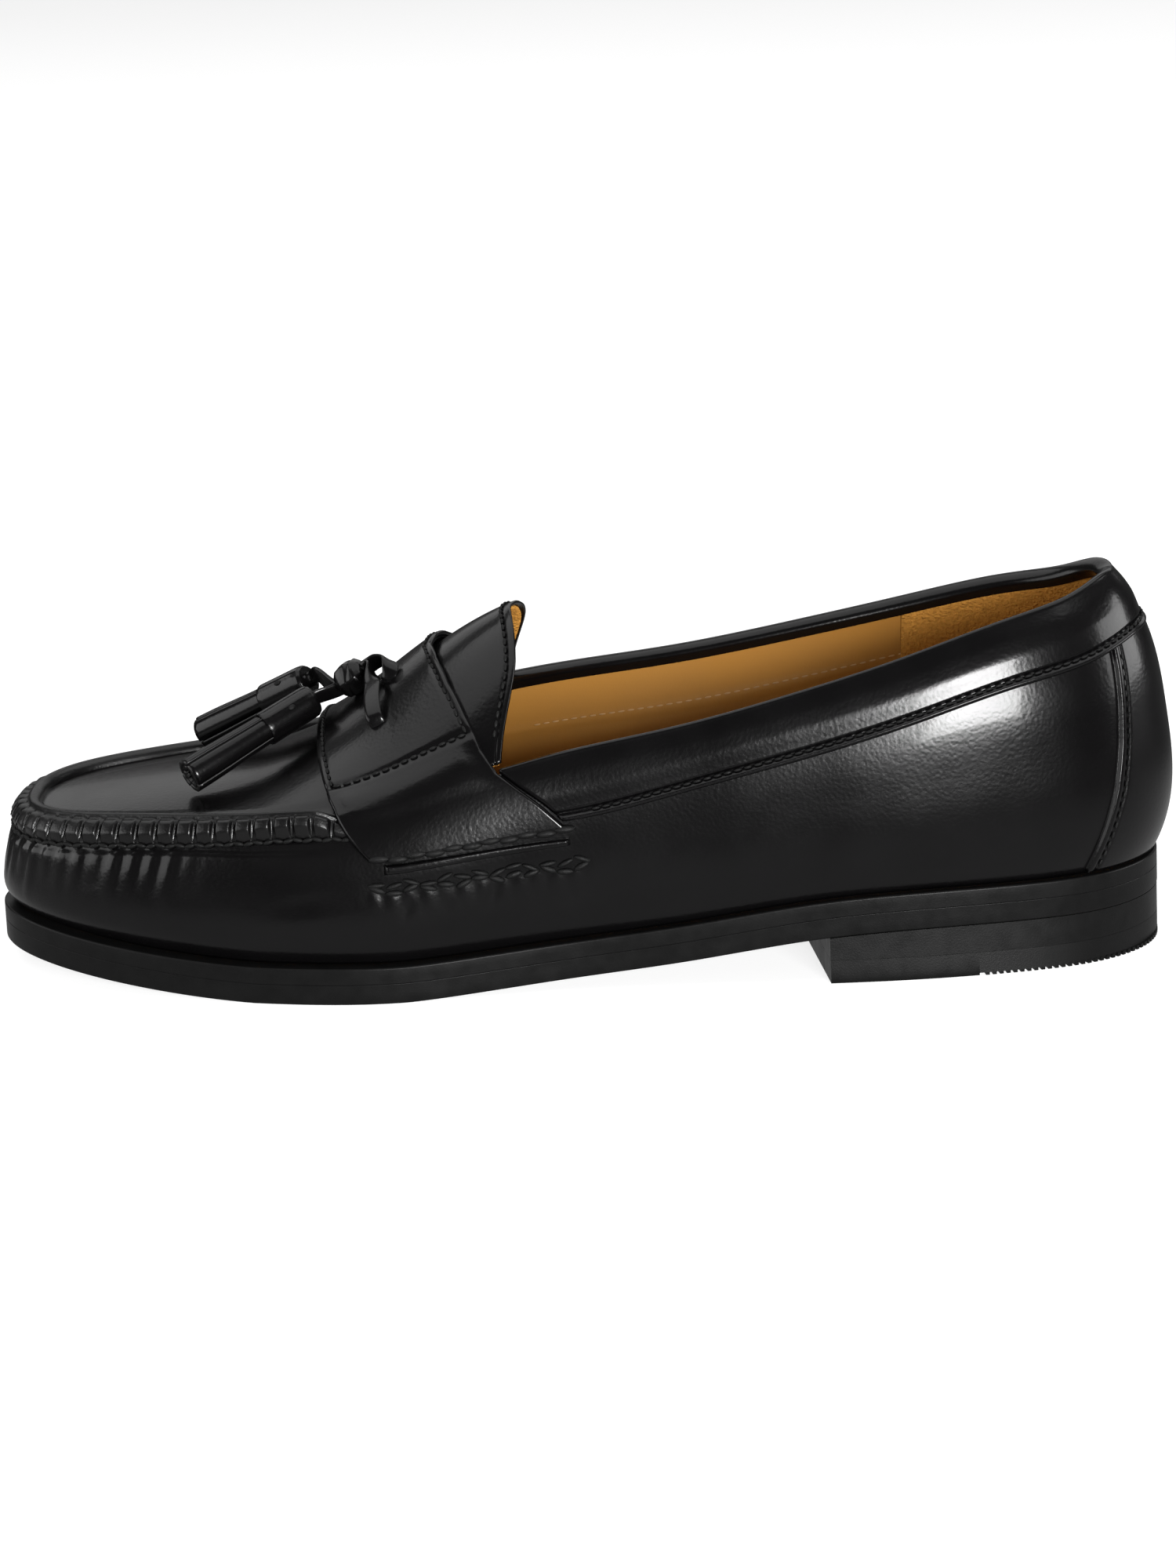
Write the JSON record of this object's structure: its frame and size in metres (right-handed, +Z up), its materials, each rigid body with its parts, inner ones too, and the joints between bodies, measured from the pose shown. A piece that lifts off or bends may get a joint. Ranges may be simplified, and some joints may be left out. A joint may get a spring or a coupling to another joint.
{
  "type": "tassel loafer",
  "caption": "Left slip-on dress loafer in polished black leather, with a saddle strap, two fringed tassels on a thong, a raised toe seam and a low stacked heel.",
  "frame": {"origin": "centre of the heel's ground face, on the floor", "axes": "+X towards the toe, +Y towards the outer (lateral) side, +Z up"},
  "size_m": [0.3049, 0.1015, 0.097],
  "materials": {
    "upper_leather": "polished black leather",
    "sole_edge": "satin black dressed leather",
    "heel_rubber": "matt black rubber",
    "lining": "plain tan lining leather"
  },
  "bodies": {
    "root": {"outsole": "sole_edge", "welt": "sole_edge", "heel_stack": "sole_edge", "top_lift_front": "sole_edge", "top_lift_rear": "heel_rubber", "insole": "lining", "upper": "upper_leather", "collar_band": "upper_leather", "heel_counter": "upper_leather", "saddle_strap": "upper_leather", "tongue": "upper_leather", "tassel_near": "upper_leather", "tassel_far": "upper_leather", "lace_knot": "upper_leather", "lace_end_near": "upper_leather", "lace_end_far": "upper_leather", "lace_loop_near": "upper_leather", "lace_loop_far": "upper_leather"}
  },
  "joints": []
}
